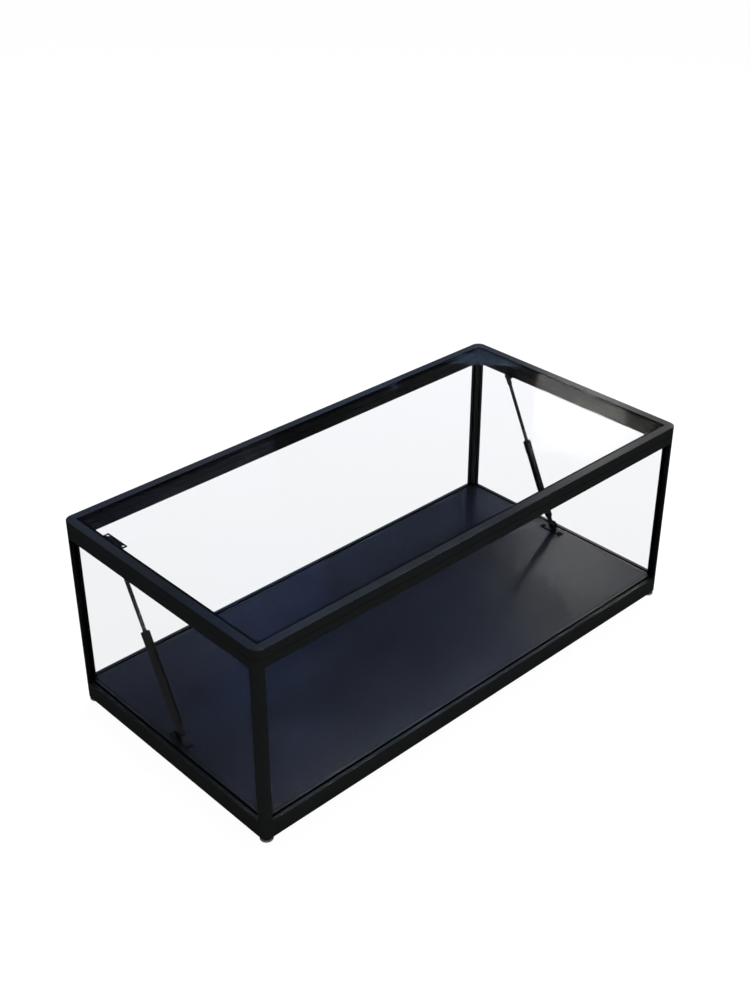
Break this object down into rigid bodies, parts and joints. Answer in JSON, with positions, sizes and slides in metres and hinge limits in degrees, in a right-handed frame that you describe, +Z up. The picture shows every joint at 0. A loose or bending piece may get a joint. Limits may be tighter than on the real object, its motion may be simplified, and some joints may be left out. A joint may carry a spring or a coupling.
{
  "type": "display table",
  "caption": "Low rectangular display table: slim black frame, glass sides, flush glass lid that lifts on back hinges and gas struts, dark floor panel, levelling feet.",
  "frame": {"origin": "on the floor, under the middle of the table", "axes": "+Z up, +X along the length, +Y from the front to the hinged back"},
  "size_m": [1.2, 0.6, 0.45],
  "materials": {
    "frame_extrusion": "satin black powder coat",
    "frame_casting": "satin black powder coat",
    "side_glass": "clear polished",
    "lid_glass": "clear polished",
    "rubber_trim": "matte black",
    "black_tape": "matte black",
    "display_floor": "satin blue-black lacquer",
    "black_fasteners": "blackened",
    "black_steel": "satin black",
    "strut_cylinder": "satin black",
    "strut_rod": "black nitrided",
    "foot_hub": "blackened",
    "foot_pad": "light grey moulded"
  },
  "bodies": {
    "case": {"bottom_rail_front": "frame_extrusion", "bottom_rail_back": "frame_extrusion", "bottom_rail_left": "frame_extrusion", "bottom_rail_right": "frame_extrusion", "foot_corner_front_left": "frame_casting", "foot_corner_front_right": "frame_casting", "foot_corner_back_left": "frame_casting", "foot_corner_back_right": "frame_casting", "corner_post_front_left": "frame_extrusion", "corner_post_front_right": "frame_extrusion", "corner_post_back_left": "frame_extrusion", "corner_post_back_right": "frame_extrusion", "top_rail_front": "frame_extrusion", "top_rail_back": "frame_extrusion", "top_rail_left": "frame_extrusion", "top_rail_right": "frame_extrusion", "floor_panel": "display_floor", "glass_pane_front": "side_glass", "glass_pane_back": "side_glass", "glass_pane_left": "side_glass", "glass_pane_right": "side_glass", "glazing_channels": "rubber_trim", "dust_seal": "rubber_trim", "hinge_base_leaf_left": "black_steel", "hinge_base_leaf_right": "black_steel", "hinge_pins": "black_fasteners", "strut_floor_bracket_left": "black_steel", "strut_floor_bracket_right": "black_steel", "strut_floor_pins": "black_fasteners", "floor_bracket_screws": "black_fasteners", "hinge_base_screws": "black_fasteners", "post_screws": "black_fasteners"},
    "lid": {"lid_rail_front": "frame_extrusion", "lid_rail_back": "frame_extrusion", "lid_rail_left": "frame_extrusion", "lid_rail_right": "frame_extrusion", "lid_corner_front_left": "frame_casting", "lid_corner_front_right": "frame_casting", "lid_corner_back_left": "frame_casting", "lid_corner_back_right": "frame_casting", "lid_glass": "lid_glass", "lid_glass_tape": "black_tape", "hinge_lid_leaf_left": "black_steel", "hinge_lid_leaf_right": "black_steel", "strut_lid_bracket_left": "black_steel", "strut_lid_bracket_right": "black_steel", "lid_bracket_screws": "black_fasteners", "hinge_lid_screws": "black_fasteners"},
    "strut_left": {"strut_cylinder_left": "strut_cylinder"},
    "strut_rod_left": {"strut_rod_left": "strut_rod"},
    "strut_right": {"strut_cylinder_right": "strut_cylinder"},
    "strut_rod_right": {"strut_rod_right": "strut_rod"},
    "foot_front_left": {"foot_stud_front_left": "foot_hub", "foot_pad_front_left": "foot_pad"},
    "foot_front_right": {"foot_stud_front_right": "foot_hub", "foot_pad_front_right": "foot_pad"},
    "foot_back_left": {"foot_stud_back_left": "foot_hub", "foot_pad_back_left": "foot_pad"},
    "foot_back_right": {"foot_stud_back_right": "foot_hub", "foot_pad_back_right": "foot_pad"}
  },
  "joints": [
    {"name": "lid_hinge", "type": "hinge", "parent": "case", "child": "lid", "pos_m": [0, 0.297, 0.43], "axis": [-1, 0, 0], "range_deg": [0, 70]},
    {"name": "strut_left_swing", "type": "hinge", "parent": "case", "child": "strut_left", "pos_m": [-0.564, 0, 0.067], "axis": [-1, 0, 0], "range_deg": [0, 0.585]},
    {"name": "strut_left_extension", "type": "slide", "parent": "strut_left", "child": "strut_rod_left", "axis": [0, 0.4358, 0.9001], "range_m": [0, 0.14906]},
    {"name": "strut_right_swing", "type": "hinge", "parent": "case", "child": "strut_right", "pos_m": [0.564, 0, 0.067], "axis": [-1, 0, 0], "range_deg": [0, 0.585]},
    {"name": "strut_right_extension", "type": "slide", "parent": "strut_right", "child": "strut_rod_right", "axis": [0, 0.4358, 0.9001], "range_m": [0, 0.14906]},
    {"name": "foot_front_left_height", "type": "slide", "parent": "case", "child": "foot_front_left", "axis": [0, 0, -1], "range_m": [0, 0.006]},
    {"name": "foot_front_right_height", "type": "slide", "parent": "case", "child": "foot_front_right", "axis": [0, 0, -1], "range_m": [0, 0.006]},
    {"name": "foot_back_left_height", "type": "slide", "parent": "case", "child": "foot_back_left", "axis": [0, 0, -1], "range_m": [0, 0.006]},
    {"name": "foot_back_right_height", "type": "slide", "parent": "case", "child": "foot_back_right", "axis": [0, 0, -1], "range_m": [0, 0.006]}
  ],
  "couplings": [
    {"joint": "strut_left_swing", "follows": "lid_hinge", "ratio": 0.0083496},
    {"joint": "strut_left_extension", "follows": "lid_hinge", "m_per_rad": 0.12199},
    {"joint": "strut_right_swing", "follows": "lid_hinge", "ratio": 0.0083496},
    {"joint": "strut_right_extension", "follows": "lid_hinge", "m_per_rad": 0.12199}
  ]
}
